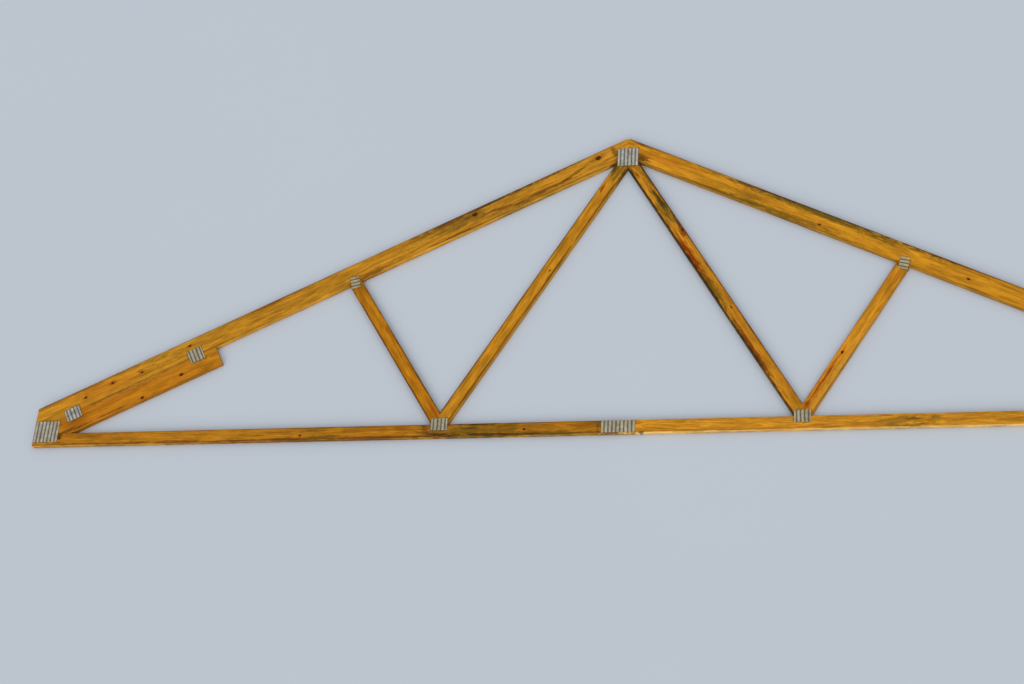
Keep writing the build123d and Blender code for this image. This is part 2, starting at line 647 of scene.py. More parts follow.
def build_galvanising_group() -> None:
    """Weathered zinc: faint spangle, pale bloom, grime and painted shade about the struck-out teeth, and
    painted shade on the bent roots in the slots.
    """
    g = Graph.group("Galvanising", "Vector:Vector, Cells:Vector, Seed, Warmth, Outer Face",
                    "Color:Color, Roughness, Height")
    here = g.seeded((3.3, 1.7, 0.9))
    spangle = g.node("TexVoronoi")
    g.feed_named(spangle.inputs, {"Vector": here, "Scale": 160.0})
    shade, _, _ = g.split(spangle.outputs["Color"])
    column, _, _ = g.split(g.given("Cells"))
    slot_middle = 0.75  # of each pair of columns, whose second one has the slots
    in_pair = g.math("FRACT", g.math("DIVIDE", column, 2.0))
    off_slot = g.math("ABSOLUTE", g.math("SUBTRACT", in_pair, slot_middle))
    # The slot columns darken: grime about the struck-out teeth, and painted shade of the slots.
    struck = g.remap(off_slot, 0.300, 0.230)
    # Painted shade on the bent tooth roots, darker the deeper they sink below the outer face.
    _, _, z = g.split(g.given("Vector"))
    depth = g.math("MINIMUM", z, g.math("SUBTRACT", g.given("Outer Face"), z))
    root_shade_mask = g.remap(depth, 0.00015, 0.0009)
    bloom = g.remap(g.noise(here, (30, 30, 30), 5, 0.65), 0.45, 0.68)
    grime = g.remap(g.noise(here, (17, 17, 17), 5, 0.65), 0.46, 0.70)
    zinc = g.mix(shade, ZincTone.DULL.value, ZincTone.CLEAN.value)
    colour = g.lay(zinc, (bloom, 0.55, ZincTone.BLOOM.value), (grime, 0.50, ZincTone.GRIME.value),
                   (struck, 0.62, ZincTone.STRUCK.value), (root_shade_mask, 0.80, ZincTone.SUNK.value))
    browned = g.mix(1.0, colour, ZincTone.BROWNING.value, "MULTIPLY")
    colour = g.mix(g.given("Warmth"), colour, browned)
    g.give(Color=colour, Roughness=g.math("MULTIPLY_ADD", bloom, 0.20, 0.45),
           Height=g.noise(here, (240, 240, 240), 3, 0.6))


# Finishes

@dataclass(frozen=True)
class Knot:
    """A knot, placed along and across its stick, in metres."""

    along: float
    across: float
    size: float


@dataclass(frozen=True)
class Stain:
    """A patch of colour, placed along and across its stick, in metres."""

    kind: StainKind
    along: float
    across: float
    length: float
    width: float
    strength: float
    lean: float = 0.0


@dataclass(frozen=True)
class SoftwoodFinish:
    """Weathered, amber-coloured softwood of one stick.

    Attributes:
        seed: Moves the pattern of its grain, mildew and dirt.
        face: Colour of its broad faces.
        edge: Colour of its narrow faces, which holds painted light and shade: paler where light from below
            falls on them, darker where they lie in shade.
        knots: Its knots.
        stains: Its stains, from the lowest up.
        mildew: How much mildew it has, from 0 to 1.
        soil_reach: How far the dark arris lines reach in from its arrises: partly dirt and partly painted
            shade.
        streaks: Strength of its dark streaks.
        pith_across: Place of the tree's pith across the stick.
        pith_below: Depth of the pith below the stick's middle.
        ring_width: Width of a growth ring.
        gloss: Level of its reflections.
        bump_strength: How strongly the grain is felt.
        bump_depth: Depth of the grain.
    """

    seed: float
    face: Colour
    edge: Colour
    knots: tuple[Knot, ...] = ()
    stains: tuple[Stain, ...] = ()
    mildew: float = 0.25
    soil_reach: float = 0.012
    streaks: float = 0.30
    pith_across: float = 0.0
    pith_below: float = 0.06
    ring_width: float = 0.0036
    gloss: float = 0.06
    bump_strength: float = 0.35
    bump_depth: float = 0.0006

    def material(self, name: str, timber: "Timber", side: Side) -> Material:
        """Make the stick's own material.

        Args:
            name: The material's name.
            timber: The stick, whose middle line the grain follows.
            side: The half of the truss that the stick is in.

        Returns:
            The material.
        """
        made, g, shader = new_material(name)
        where = g.node("TexCoord").outputs
        here = self._along_stick(g, where["Object"], timber, side)
        knots, grain_at = [], here
        for knot in self.knots:
            knots.append(g.use("Knot", Vector=grain_at, Along=knot.along, Across=knot.across,
                               Size=knot.size).outputs)
            grain_at = knots[-1]["Vector"]
        grain = g.use("Softwood grain", Vector=grain_at, Seed=self.seed,
                      Pith_Across=self.pith_across, Pith_Below=self.pith_below,
                      Ring_Width=self.ring_width).outputs
        along, across = timber.axes(side)
        sawn = g.use("Sawn faces", Vector=here, Normal=where["Normal"], Along=along, Across=across,
                     Half_Depth=timber.depth / 2, Half_Thickness=PLAN.thickness / 2,
                     Reach=self.soil_reach, Seed=self.seed).outputs
        colour = self._bare_wood(g, grain, sawn["Edge"])
        colour = g.lay(colour, *((knot["Halo"], 0.50, WoodTone.KNOT_HALO.value) for knot in knots))
        colour = self._weather(g, colour, here)
        for knot in knots:
            heart = g.mix(knot["Rings"], WoodTone.KNOT_HEART.value, WoodTone.KNOT_RING.value)
            colour = g.lay(colour, (knot["Core"], 0.92, heart),
                           (knot["Bark"], 0.85, WoodTone.KNOT_BARK.value))
        # Dark lines along the arrises, partly dirt and partly painted shade of the edges and seams.
        colour = g.lay(colour, (sawn["Arris"], 0.80, WoodTone.ARRIS_SOIL.value),
                       (sawn["End"], 0.45, WoodTone.END_GRAIN.value),
                       (grain["Check"], 0.7, WoodTone.CHECK.value))
        # The wood under each plate is darkened as painted shade of the slots; the halo round the plate is
        # dirt.
        for plate in timber.plates:
            mark = plate.print_on(g, where["Object"], side)
            colour = g.lay(colour, (mark["Halo"], 0.60, WoodTone.PLATE_GRIME.value),
                           (mark["Under"], 0.75, WoodTone.UNDER_PLATE.value))
        g.feed_named(shader.inputs, {
            "Base Color": colour, "Specular IOR Level": self.gloss,
            "Roughness": g.math("MULTIPLY_ADD", grain["Fibre"], 0.22, 0.50)})
        height = g.math("MULTIPLY_ADD", grain["Late Wood"], 0.35,
                        g.math("MULTIPLY", grain["Fibre"], 0.65))
        g.bump(shader, g.math("SUBTRACT", height, grain["Check"]), self.bump_strength,
               self.bump_depth)
        return made

    def _along_stick(self, g: Graph, place: Any, timber: "Timber", side: Side) -> Socket:
        """Turn a place in the row frame into one along, across and through the stick.

        Args:
            g: The material's graph.
            place: The place in the row frame.
            timber: The stick.
            side: The half of the truss that it is in.

        Returns:
            The place measured from the start of the stick's middle line.
        """
        turn = Matrix.Rotation(-timber.angle, 3, "Z")
        mapping = g.node("Mapping")
        g.feed_named(mapping.inputs, {
            "Vector": place, "Location": -(turn @ PLAN.place(timber.start, Side.RIGHT)),
            "Rotation": (0.0, 0.0, -timber.angle), "Scale": (side.value, 1.0, 1.0)})
        return mapping.outputs["Vector"]

    def _bare_wood(self, g: Graph, grain: Any, edge_mask: Any) -> Socket:
        """Colour of the clean wood, with the painted light and shade of its narrow faces.

        Args:
            g: The material's graph.
            grain: Outputs of the grain group.
            edge_mask: Where the narrow faces are.

        Returns:
            The colour.
        """
        late = scaled(self.face, 0.50, 0.38, 0.15)
        colour = g.mix(grain["Tone"], scaled(self.face, 1.24, 1.24, 0.80),
                       scaled(self.face, 1.01, 0.96, 0.52))
        # The narrow faces take the edge colour, which holds painted light and shade.
        colour = g.lay(colour, (edge_mask, 0.85, self.edge), (grain["Late Wood"], 0.42, late),
                       (grain["Streak"], self.streaks, late),
                       (grain["Bright"], 0.28, scaled(self.face, 1.30, 1.40, 1.3)),
                       (grain["Resin"], 0.40, scaled(self.face, 1.0, 0.60, 0.3)))
        for value, low, high, dark, bright in ((grain["Fibre"], 0.3, 0.7, 0.86, 1.12),
                                               (grain["Mottle"], 0.34, 0.66, 0.75, 1.24)):
            shade = g.remap(value, low, high, dark, bright)
            colour = g.mix(1.0, colour, g.join(shade, shade, shade), "MULTIPLY")
        return colour

    def _weather(self, g: Graph, colour: Any, here: Any) -> Socket:
        """Lay the stains and the mildew over the wood.

        Args:
            g: The material's graph.
            colour: The wood's colour.
            here: Place along, across and through the stick.

        Returns:
            The stained colour.
        """
        rough = g.use("Ragged", Vector=here, Seed=self.seed).outputs["Rough"]
        for stain in self.stains:
            patch = g.use("Stain patch", Vector=here, Rough=rough, Along=stain.along,
                          Across=stain.across, Length=stain.length, Width=stain.width,
                          Lean=stain.lean)
            colour = g.lay(colour, (patch.outputs["Mask"], stain.strength, stain.kind.value))
        mildew = g.use("Mildew", Vector=here, Seed=self.seed, Amount=self.mildew)
        return g.lay(colour, (mildew.outputs["Mask"], 0.55, WoodTone.MILDEW.value))


@dataclass(frozen=True)
class GalvanisedFinish:
    """Weathered galvanised steel of a connector plate.

    Attributes:
        seed: Moves the pattern of the zinc.
        warmth: How far it has browned, from 0 to 1.
        metallic: How metallic the dulled zinc still is.
        bump_strength: How strongly its grain is felt.
        bump_depth: Depth of that grain.
    """

    seed: float
    warmth: float
    metallic: float = 0.4
    bump_strength: float = 0.2
    bump_depth: float = 0.0003

    def material(self, name: str, cells: tuple[int, int]) -> Material:
        """Make the material.

        Args:
            name: The material's name.
            cells: How many cells the plate's own map has each way.

        Returns:
            The material.
        """
        made, g, shader = new_material(name)
        where = g.node("TexCoord").outputs
        zinc = g.use("Galvanising", Vector=where["Object"], Seed=self.seed, Warmth=self.warmth,
                     Cells=g.vector("MULTIPLY", where["UV"], (*cells, 1)),
                     Outer_Face=PLAN.thickness + 2 * PLAN.gauge).outputs
        g.feed_named(shader.inputs, {"Metallic": self.metallic, "Base Color": zinc["Color"],
                                     "Roughness": zinc["Roughness"]})
        g.bump(shader, zinc["Height"], self.bump_strength, self.bump_depth)
        return made


# The sticks

@dataclass(frozen=True)
class SawCut:
    """A plane sawn through a stick, in the right half's elevation; its normal points off the stick."""

    point: Point
    normal: Point

    def plane(self, side: Side) -> tuple[Vector, Vector]:
        """A point and the normal of the plane in the row frame, on one side."""
        return (PLAN.place(self.point, side),
                Vector((side.value * self.normal[0], self.normal[1], 0.0)))


@dataclass
class Timber:
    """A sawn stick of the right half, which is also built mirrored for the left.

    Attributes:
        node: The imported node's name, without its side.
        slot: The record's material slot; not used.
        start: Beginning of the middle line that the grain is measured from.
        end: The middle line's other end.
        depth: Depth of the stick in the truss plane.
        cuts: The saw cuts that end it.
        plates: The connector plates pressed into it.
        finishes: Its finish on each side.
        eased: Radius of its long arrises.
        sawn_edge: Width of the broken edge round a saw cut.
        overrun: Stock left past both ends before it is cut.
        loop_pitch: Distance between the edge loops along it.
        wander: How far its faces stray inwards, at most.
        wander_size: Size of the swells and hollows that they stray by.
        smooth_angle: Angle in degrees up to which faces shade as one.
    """

    node: str
    slot: str
    start: Point
    end: Point
    depth: float
    cuts: tuple[SawCut, ...]
    plates: tuple["ConnectorPlate", ...]
    finishes: dict[Side, SoftwoodFinish]
    eased: float = 0.003
    sawn_edge: float = 0.0006
    overrun: float = 0.30
    loop_pitch: float = 0.08
    wander: float = 0.0004
    wander_size: float = 0.22
    smooth_angle: float = 35.0

    @property
    def angle(self) -> float:
        """Angle of the middle line in the right half, in radians."""
        return math.atan2(self.end[1] - self.start[1], self.end[0] - self.start[0])

    @property
    def length(self) -> float:
        """Length of the stock before it is cut."""
        return math.dist(self.start, self.end) + 2 * self.overrun

    def build(self, side: Side) -> None:
        """Model the stick, dress it and hang it on the frame.

        Args:
            side: The half of the truss that it is in.
        """
        stick = self._stock(side)
        self._ease(stick, side)
        self._season(stick, side)
        self._saw(stick, side)
        stick.name = stick.data.name = f"{self.node}_{side.word}_timber"
        make_active(stick)
        bpy.ops.object.shade_smooth_by_angle(angle=math.radians(self.smooth_angle))
        stick.data.materials.append(
            self.finishes[side].material(f"softwood_{self.node}_{side.word}", self, side))
        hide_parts(f"{self.node}_{side.word}")
        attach(stick, "root")
        log.info("%s: %d faces", stick.name, len(stick.data.polygons))

    def axes(self, side: Side) -> tuple[Vector, Vector]:
        """Directions along and across the stick on one side."""
        return axes(self.angle, side)

    def _stock(self, side: Side) -> Piece:
        """Make a bar of the stick's section, with edge loops along it.

        Args:
            side: The half of the truss that it is in.

        Returns:
            The bar, longer than the stick at both ends.
        """
        deselect_all()
        along, _ = self.axes(side)
        middle = (PLAN.place(self.start, side) + PLAN.place(self.end, side)) / 2
        bpy.ops.mesh.primitive_cube_add(
            size=1.0, location=middle, rotation=(0.0, 0.0, math.atan2(along.y, along.x)),
            scale=(self.length, self.depth, PLAN.thickness))
        bar = bpy.context.object
        settle(bar)
        pick(bar, Element.EDGE, lambda at: abs((at - middle).dot(along)) < self.length / 4)
        with editing(bar, Element.EDGE):
            bpy.ops.mesh.subdivide(number_cuts=int(self.length / self.loop_pitch))
        return bar

    def _ease(self, bar: Piece, side: Side) -> None:
        """Round the four long arrises.

        Args:
            bar: The bar.
            side: The half of the truss that it is in.
        """
        _, across = self.axes(side)
        middle = PLAN.place(self.start, side)

        def on_arris(at: Vector) -> bool:
            """Whether a point is at a corner of the bar's section."""
            away = at - middle
            return (abs(abs(away.dot(across)) - self.depth / 2) < NEAR
                    and abs(abs(away.z) - PLAN.thickness / 2) < NEAR)

        pick(bar, Element.EDGE, on_arris)
        with editing(bar, Element.EDGE):
            bpy.ops.mesh.bevel(offset=self.eased, segments=3, affect="EDGES")

    def _season(self, bar: Piece, side: Side) -> None:
        """Let the faces wander inwards a little, as dried wood does.

        Args:
            bar: The bar.
            side: The half of the truss that it is in.
        """
        texture = bpy.data.textures.new(f"{self.node}_{side.word}_wander", "CLOUDS")
        texture.noise_scale = self.wander_size
        apply_modifier(bar, "DISPLACE", texture=texture, texture_coords="LOCAL",
                       strength=-self.wander, mid_level=0.0)

    def _saw(self, bar: Piece, side: Side) -> None:
        """Cut the bar to its outline, then break the edges round the cut faces.

        Args:
            bar: The bar.
            side: The half of the truss that it is in.
        """
        for cut in self.cuts:
            place, facing = cut.plane(side)
            with editing(bar):
                bpy.ops.mesh.select_all(action="SELECT")
                bpy.ops.mesh.bisect(plane_co=place, plane_no=facing, use_fill=True, clear_outer=True)
        for cut in self.cuts:
            place, facing = cut.plane(side)
            pick(bar, Element.EDGE, lambda at: abs((at - place).dot(facing)) < NEAR)
            with editing(bar, Element.EDGE):
                bpy.ops.mesh.bevel(offset=self.sawn_edge, segments=1, affect="EDGES")
        with editing(bar):
            bpy.ops.mesh.select_all(action="SELECT")
            bpy.ops.mesh.normals_make_consistent(inside=False)


# The connector plates

@dataclass
class ConnectorPlate:
    """A plate with its teeth struck out of rows of slots, copied to each place it is pressed into.

    Attributes:
        node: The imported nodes' name, without face and side.
        length: Size along the slots.
        width: Size across the slots.
        centre: Distance from the middle of the span, and height.
        warmth: How much its zinc has browned, from 0 to 1.
        angle: Turn of its length in the right half, in degrees.
        on_middle: Whether there is one plate a face and not one a side.
        slot_length: Length of a slot.
        row_pitch: Distance between rows of slots.
        lip: How far a bent tooth root reaches into its slot.
        bends: Shares of the lip inwards and of the gauge down, at each step of a root's bend.
        sheet: Thickness of the metal, a little under the gauge.
        margin: Least metal left along the plate's outer edges.
        grime_spread: How far dirt gathers round it on the wood.
    """

    node: str
    length: float
    width: float
    centre: Point
    warmth: float
    angle: float = 0.0
    on_middle: bool = False
    slot_length: float = 0.0127
    row_pitch: float = 0.00635
    lip: float = 0.0044
    bends: tuple[Point, ...] = ((0.45, 0.12), (0.35, 0.35), (0.20, 0.50))
    sheet: float = 0.00085
    margin: float = 0.003
    grime_spread: float = 0.022

    @property
    def cells(self) -> tuple[int, int]:
        """Cells each way, slots and the metal between them by turns, metal first and last."""
        columns = int((self.length - 2 * self.margin + self.slot_length) // (2 * self.slot_length))
        rows = int((self.width - 2 * self.margin) // self.row_pitch)
        return 2 * columns + 1, 2 * rows + 1

    @property
    def cell(self) -> Point:
        """Length and width of a cell, which are a slot's."""
        return self.slot_length, self.row_pitch / 2

    @property
    def field(self) -> Point:
        """Half of the length and width that the cells take up."""
        return self.cells[0] * self.cell[0] / 2, self.cells[1] * self.cell[1] / 2

    def print_on(self, g: Graph, place: Any, side: Side) -> Any:
        """Masks of the painted shade on the wood under the plate, in its slots, and of the dirt around it.

        Args:
            g: Graph of the wood's material.
            place: Place in the row frame.
            side: The half of the truss that the wood is in.

        Returns:
            The outputs Under and Halo.
        """
        along, across = axes(math.radians(self.angle), side)
        return g.use("Plate print", Vector=place, Centre=PLAN.place(self.centre, side), Along=along,
                     Across=across, Half_Length=self.length / 2, Half_Width=self.width / 2,
                     Spread=self.grime_spread).outputs

    def build(self, seed: float) -> None:
        """Model one plate, copy it to its places, and hang the copies on the frame.

        Args:
            seed: Moves the pattern of the zinc.
        """
        master = self._stamp()
        material = GalvanisedFinish(seed, self.warmth).material(f"galvanised_{self.node}", self.cells)
        for face in Face:
            for side in ((Side.RIGHT,) if self.on_middle else tuple(Side)):
                plate = master.copy()
                plate.data = master.data.copy()
                bpy.context.scene.collection.objects.link(plate)
                self._press(plate, face, side)
                node = f"{self.node}_{face.value}" + ("" if self.on_middle else f"_{side.word}")
                plate.name = plate.data.name = f"{node}_steel"
                plate.data.materials.append(material)
                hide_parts(node)
                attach(plate, "root")
                log.info("%s: %d faces", plate.name, len(plate.data.polygons))
        bpy.data.objects.remove(master)

    def _stamp(self) -> Piece:
        """Strike the slots out of a flat sheet at the origin, its outer face up.

        Returns:
            The sheet, its slots open and the roots of its teeth bent down.
        """
        cells, cell, field = self.cells, self.cell, self.field
        deselect_all()
        bpy.ops.mesh.primitive_grid_add(x_subdivisions=cells[0], y_subdivisions=cells[1], size=1.0,
                                        location=(0.0, 0.0, PLAN.gauge))
        sheet = bpy.context.object
        sheet.scale = (2 * field[0], 2 * field[1], 1.0)
        settle(sheet)
        for axis, wanted in enumerate((self.length / 2, self.width / 2)):
            for sign in (-1, 1):
                pick(sheet, Element.VERT, lambda at: sign * at[axis] > field[axis] - NEAR)
                shift = [0.0, 0.0, 0.0]
                shift[axis] = sign * (wanted - field[axis])
                with editing(sheet, Element.VERT):
                    bpy.ops.transform.translate(value=shift)

        def in_slot(at: Vector) -> bool:
            """Whether a point is in a cell that is a slot."""
            counts = [math.floor((at[axis] + field[axis]) / cell[axis]) for axis in (0, 1)]
            return all(n % 2 == 1 and 0 < n < whole for n, whole in zip(counts, cells))

        pick(sheet, Element.FACE, in_slot)
        with editing(sheet):
            bpy.ops.mesh.delete(type="FACE")
        for sign in (-1, 1):
            self._bend_roots(sheet, sign)
        apply_modifier(sheet, "SOLIDIFY", thickness=self.sheet, offset=-1.0)
        return sheet

    def _bend_roots(self, sheet: Piece, sign: int) -> None:
        """Bend the metal at one end of every slot down towards the wood.

        Args:
            sheet: The sheet with its slots open.
            sign: Which end of the slots, -1 or 1.
        """
        (cell_x, cell_y), (edge_x, edge_y) = self.cell, self.field

        def slot_end(at: Vector) -> bool:
            """Whether a point is in the middle of this end of a slot."""
            column = (at.x + edge_x) / cell_x
            row = math.floor((at.y + edge_y) / cell_y)
            nearest = round(column)
            return (abs(column - nearest) < 0.01 and nearest % 2 == (0 if sign > 0 else 1)
                    and row % 2 == 1 and 0 < nearest < self.cells[0]
                    and abs(at.x) < edge_x - cell_x / 2 and abs(at.y) < edge_y - cell_y / 2
                    and abs(at.y - ((row + 0.5) * cell_y - edge_y)) < cell_y / 4)

        pick(sheet, Element.EDGE, slot_end)
        with editing(sheet, Element.EDGE):
            for inwards, down in self.bends:
                bpy.ops.mesh.extrude_edges_move(TRANSFORM_OT_translate={
                    "value": (-sign * inwards * self.lip, 0.0, -down * PLAN.gauge)})

    def _press(self, plate: Piece, face: Face, side: Side) -> None:
        """Turn a copy and put it on its face and side.

        Args:
            plate: The copy, still lying at the origin.
            face: The face of the truss that it goes on.
            side: The half of the truss that it goes on.
        """
        angle = math.radians(self.angle if side is Side.RIGHT else 180.0 - self.angle)
        turn = Matrix.Rotation(angle, 4, "Z")
        if face is Face.BACK:
            turn = turn @ Matrix.Rotation(math.pi, 4, "X")
        z = PLAN.gauge if face is Face.BACK else PLAN.gauge + PLAN.thickness
        plate.matrix_world = Matrix.Translation(PLAN.place(self.centre, side, z)) @ turn
        settle(plate)


# Studio

@dataclass
class Studio:
    """Pale floor, soft lamps and the camera.

    Attributes:
        floor_size: Side of the floor.
        floor_colour: Its colour.
        floor_cloud: How much paler its faint clouds are.
        cloud_waves: Clouds a metre.
        backdrop_colour: Colour behind the floor, which the lit floor runs out into.
        room_colour: Colour of the light from all round.
        room_level: Strength of that light.
        lamps: Name, direction, strength, spread in degrees and tint of each sun.
        camera_place: Where the camera stands in the row frame.
        camera_right: Direction of the picture's right-hand side.
        camera_up: Direction of the picture's upper side.
        lens: Focal length in millimetres.
        sensor: Width of the camera's sensor in millimetres.
        shift: How far the lens is shifted, since the photograph is a crop.
        far: How far the camera sees.
    """

    floor_size: float = 160.0
    floor_colour: Colour = tone(190, 196, 203)
    floor_cloud: float = 1.04
    cloud_waves: float = 0.35
    backdrop_colour: Colour = tone(188, 196, 206)
    room_colour: Colour = (0.90, 0.94, 1.0, 1.0)
    room_level: float = 0.66
    lamps: tuple[tuple[str, Direction, float, float, Direction], ...] = (
        ("key_sun", (-0.12, -1.0, 0.70), 1.30, 50.0, (1.0, 0.98, 0.95)),
        ("top_sun", (0.25, 0.25, 1.0), 0.45, 60.0, (0.96, 0.98, 1.0)))
    camera_place: Direction = (1.33052, -5.45389, 9.33374)
    camera_right: Direction = (0.991131, 0.034881, -0.128231)
    camera_up: Direction = (0.020444, 0.913429, 0.406484)
    lens: float = 56.962
    sensor: float = 36.0
    shift: Point = (-0.09952, 0.11171)
    far: float = 300.0

    def build(self) -> None:
        """Set up the floor, the light and the camera."""
        self._lay_floor()
        self._light()
        self._stand_camera()
        bpy.context.scene.view_settings.view_transform = "Standard"

    def _lay_floor(self) -> None:
        """Lay the floor under the truss."""
        deselect_all()
        bpy.ops.mesh.primitive_plane_add(size=self.floor_size, location=(0.0, 0.0, 0.0))
        floor = bpy.context.object
        floor.name = "studio_floor"
        made, g, shader = new_material("pale_floor")
        cloud = g.noise(g.node("TexCoord").outputs["Object"], (self.cloud_waves,) * 3, 3)
        pale = tuple(min(1.0, self.floor_cloud * c) for c in self.floor_colour[:3]) + (1.0,)
        g.feed_named(shader.inputs, {"Base Color": g.mix(cloud, self.floor_colour, pale),
                                     "Roughness": 0.85, "Specular IOR Level": 0.1})
        floor.data.materials.append(made)

    def _light(self) -> None:
        """Light the room evenly, from the camera's side, from above and from all round."""
        for name, towards, strength, spread, tint in self.lamps:
            lamp = bpy.data.lights.new(name, "SUN")
            lamp.energy, lamp.color, lamp.angle = strength, tint, math.radians(spread)
            sun = bpy.data.objects.new(name, lamp)
            sun.rotation_euler = Vector(towards).to_track_quat("Z", "Y").to_euler()
            bpy.context.scene.collection.objects.link(sun)
        world = bpy.data.worlds.new("pale_room")
        world.use_nodes = True
        g = Graph(world.node_tree)
        ray = g.node("LightPath").outputs["Is Camera Ray"]
        g.feed_named(world.node_tree.nodes["Background"].inputs, {
            "Color": g.mix(ray, self.room_colour, self.backdrop_colour),
            "Strength": g.math("MULTIPLY_ADD", ray, 1.0 - self.room_level, self.room_level)})
        bpy.context.scene.world = world

    def _stand_camera(self) -> None:
        """Stand the camera where the photograph was taken from."""
        right, up = Vector(self.camera_right), Vector(self.camera_up)
        turn = Matrix((right, up, right.cross(up))).transposed().to_4x4()
        lens = bpy.data.cameras.new("photo_camera")
        lens.sensor_width, lens.lens = self.sensor, self.lens
        lens.shift_x, lens.shift_y = self.shift
        lens.clip_end = self.far
        camera = bpy.data.objects.new("photo_camera", lens)
        camera.matrix_world = Matrix.Translation(self.camera_place) @ turn
        bpy.context.scene.collection.objects.link(camera)
        bpy.context.scene.camera = camera


# The truss

def plate_kinds() -> dict[str, ConnectorPlate]:
    """List the seven kinds of connector plate, sized and placed as in the photograph.

    Returns:
        The plates by a short name.
    """
    p = PLAN
    down = -math.degrees(math.atan(p.roof_slope))
    return {
        "peak": ConnectorPlate("peak_plate", 0.1397, 0.1397, (0.0, p.seam_line(0.0)), warmth=0.15,
                               on_middle=True),
        "splice": ConnectorPlate("splice_plate", 0.2159, 0.0826, (0.0, p.narrow / 2), warmth=0.55,
                                 on_middle=True),
        "heel": ConnectorPlate("heel_plate", 0.1651, 0.1524, (3.875, 0.101), warmth=0.40),
        "slider_heel": ConnectorPlate("slider_heel_plate", 0.1016, 0.0889, (3.709, 0.233),
                                      warmth=0.0, angle=down),
        "slider_tip": ConnectorPlate("slider_tip_plate", 0.1016, 0.1016, (2.906, 0.653),
                                     warmth=0.50, angle=down),
        "web_foot": ConnectorPlate("web_foot_plate", 0.1080, 0.0857, (p.bottom_joint, p.narrow),
                                   warmth=0.60),
        "web_head": ConnectorPlate("web_head_plate", 0.0889, 0.0635,
                                   (p.top_joint, p.seam_line(p.top_joint)), warmth=0.80,
                                   angle=76.5),
    }


# Each edge colour in the finishes below holds painted light and shade on the narrow faces: paler where
# light from below falls on them, darker where they lie in shade.
def bottom_chord_finishes() -> dict[Side, SoftwoodFinish]:
    """Bottom chords: mildewed and streaked on the left, pale and cleaner on the right.

    Returns:
        The finish on each side.
    """
    return {
        Side.LEFT: SoftwoodFinish(
            1.3, tone(168, 110, 28), tone(206, 156, 66), mildew=0.3, soil_reach=0.013, streaks=0.26,
            pith_across=0.012, pith_below=0.05,
            knots=(Knot(2.105, -0.014, 0.006), Knot(0.61, -0.005, 0.007)),
            stains=(
                Stain(UMBER, 1.8, -0.039, 2.2, 0.012, 0.78), Stain(OLIVE, 0.92, -0.002, 0.36, 0.062, 0.78),
                Stain(OLIVE, 0.52, -0.026, 0.3, 0.018, 0.65), Stain(OLIVE, 0.3, -0.034, 0.22, 0.012, 0.6),
                Stain(BLACK, 0.95, 0.041, 0.19, 0.008, 0.8), Stain(BLACK, 0.98, 0.012, 0.15, 0.008, 0.6),
                Stain(BLACK, 0.8, -0.034, 0.24, 0.008, 0.7), Stain(BLACK, 1.15, -0.03, 0.17, 0.015, 0.8),
                Stain(BLACK, 1.27, 0.008, 0.03, 0.045, 0.5), Stain(UMBER, 0.128, 0.0, 0.016, 0.06, 0.6),
                Stain(RED, 1.42, 0.012, 0.06, 0.026, 0.4), Stain(OLIVE, 1.97, -0.03, 0.17, 0.017, 0.75),
                Stain(OLIVE, 2.02, 0.016, 0.11, 0.022, 0.5), Stain(UMBER, 3.6, -0.034, 0.16, 0.009, 0.65),
                Stain(BLACK, 3.778, 0.009, 0.02, 0.04, 0.85))),
        # The very pale edge colour here is painted light from below on the narrow faces.
        Side.RIGHT: SoftwoodFinish(
            2.9, tone(191, 129, 40), tone(252, 206, 118), mildew=0.1, soil_reach=0.004, streaks=0.16,
            pith_across=-0.01, pith_below=0.07,
            knots=(Knot(2.9, 0.012, 0.007),),
            stains=(
                Stain(OLIVE, 1.8, 0.006, 0.24, 0.05, 0.56), Stain(BLACK, 1.85, 0.012, 0.1, 0.014, 0.45),
                Stain(BLACK, 1.985, 0.028, 0.04, 0.014, 0.4), Stain(OLIVE, 2.2, 0.01, 0.3, 0.04, 0.22),
                Stain(UMBER, 0.9, -0.038, 1.0, 0.01, 0.3), Stain(BLACK, 0.15, -0.0445, 0.016, 0.005, 0.7),
                Stain(RED, 1.36, 0.034, 0.07, 0.008, 0.3))),
    }


